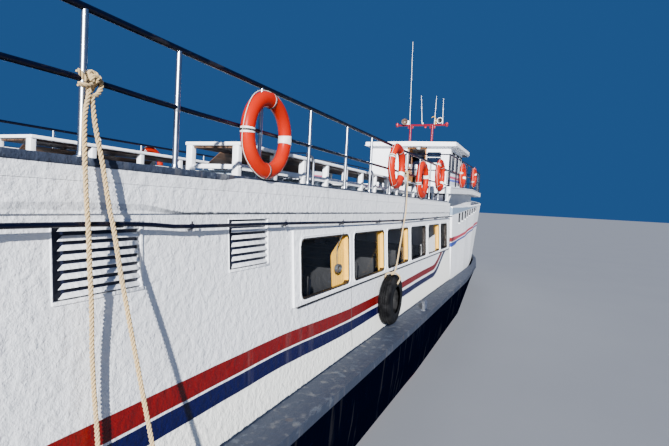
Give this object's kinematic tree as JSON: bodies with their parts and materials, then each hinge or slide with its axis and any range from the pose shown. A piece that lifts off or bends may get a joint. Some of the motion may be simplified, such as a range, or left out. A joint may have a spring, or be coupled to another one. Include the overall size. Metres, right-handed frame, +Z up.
{
  "type": "passenger ferry",
  "caption": "Small passenger ferry afloat: decked hull, long windowed cabin under a railed upper deck, raised bridge deck with wheelhouse and mast, screws and rudders.",
  "frame": {"origin": "on the centreline amidships, at the waterline", "axes": "+X to the bow, +Y to port, +Z up"},
  "size_m": [33.25, 6.7282, 11.6403],
  "materials": {
    "hull_paint": "navy gloss paint, scuffed",
    "white_paint": "white paint, weathered",
    "deck_paint": "matt grey deck paint",
    "rail_paint": "dark navy paint with worn spots",
    "post_steel": "silver, satin",
    "window_glass": "tinted, glossy",
    "curtain_cloth": "pleated cloth",
    "ring_orange": "orange shell, faded",
    "tyre_rubber": "worn rubber",
    "laid_rope": "three-strand rope",
    "mast_red": "red gloss paint",
    "propeller_bronze": "dull bronze",
    "varnished_wood": "varnished",
    "seat_cloth": "woven blue cover",
    "dark_iron": "painted iron"
  },
  "bodies": {
    "ship": {"hull": "hull_paint", "shaft_bracket_starboard": "propeller_bronze", "shaft_bracket_port": "propeller_bronze", "engines": "dark_iron", "cabin_floor": "deck_paint", "side_ledge": "deck_paint", "bow_bulwark": "white_paint", "foredeck": "deck_paint", "anchor_windlass": "dark_iron", "bridge_deck": "white_paint", "fore_cabin_side_starboard": "white_paint", "fore_cabin_side_port": "white_paint", "fore_cabin_front": "white_paint", "cabin_side_starboard": "white_paint", "cabin_side_port": "white_paint", "window_glass_starboard": "window_glass", "window_glass_port": "window_glass", "cabin_aft_wall": "white_paint", "cabin_front_wall": "white_paint", "upper_deck": "deck_paint", "rail_starboard": "rail_paint", "rail_port": "rail_paint", "rail_aft": "rail_paint", "bridge_rail": "rail_paint", "grab_pipe_starboard": "rail_paint", "grab_pipe_port": "rail_paint", "cabin_seats_starboard": "seat_cloth", "cabin_seats_port": "seat_cloth", "bench_starboard": "white_paint", "bench_centre": "white_paint", "bench_port": "white_paint", "wheelhouse_aft_wall": "white_paint", "wheelhouse_side_starboard": "white_paint", "wheelhouse_side_port": "white_paint", "wheelhouse_front": "white_paint", "wheelhouse_glass": "window_glass", "wheelhouse_roof": "white_paint", "helm_console": "deck_paint", "helm_seat": "seat_cloth", "signal_mast": "mast_red", "life_ring_1": "ring_orange", "life_ring_2": "ring_orange", "life_ring_3": "ring_orange", "life_ring_4": "ring_orange", "life_ring_5": "ring_orange", "life_ring_6": "ring_orange", "life_ring_port": "ring_orange", "tyre_fender_fore": "tyre_rubber", "tyre_fender_aft": "tyre_rubber", "fender_rope_fore": "laid_rope", "fender_ropes_aft": "laid_rope", "stern_bulwark": "white_paint", "aft_stairs": "deck_paint"},
    "screw_starboard": {"propeller_starboard": "propeller_bronze"},
    "screw_port": {"propeller_port": "propeller_bronze"},
    "rudder_blade_starboard": {"rudder_starboard": "hull_paint"},
    "rudder_blade_port": {"rudder_port": "hull_paint"},
    "helm_wheel": {"steering_wheel": "varnished_wood"},
    "saloon_door": {"cabin_door": "white_paint"},
    "pilot_door": {"wheelhouse_door": "varnished_wood"}
  },
  "joints": [
    {"name": "screw_starboard_turn", "type": "hinge", "parent": "ship", "child": "screw_starboard", "pos_m": [-14.56, -1.1, -1.05], "axis": [1, 0, 0], "continuous": true},
    {"name": "screw_port_turn", "type": "hinge", "parent": "ship", "child": "screw_port", "pos_m": [-14.56, 1.1, -1.05], "axis": [1, 0, 0], "continuous": true},
    {"name": "rudder_turn", "type": "hinge", "parent": "ship", "child": "rudder_blade_starboard", "pos_m": [-15.15, -1.1, -1.1], "axis": [0, 0, 1], "range_deg": [-35, 35]},
    {"name": "rudder_port_turn", "type": "hinge", "parent": "ship", "child": "rudder_blade_port", "pos_m": [-15.15, 1.1, -1.1], "axis": [0, 0, 1], "range_deg": [-35, 35]},
    {"name": "helm_turn", "type": "hinge", "parent": "ship", "child": "helm_wheel", "pos_m": [10.31, 0, 4.5], "axis": [1, 0, 0], "range_deg": [-350, 350]},
    {"name": "saloon_door_swing", "type": "hinge", "parent": "ship", "child": "saloon_door", "pos_m": [-13.632, -0.495, 2.1], "axis": [0, 0, 1], "range_deg": [0, 100]},
    {"name": "pilot_door_swing", "type": "hinge", "parent": "ship", "child": "pilot_door", "pos_m": [8.577, 0.11, 4.7], "axis": [0, 0, 1], "range_deg": [-90, 0]}
  ],
  "couplings": [
    {"joint": "rudder_port_turn", "follows": "rudder_turn", "ratio": 1},
    {"joint": "helm_turn", "follows": "rudder_turn", "ratio": 10}
  ]
}
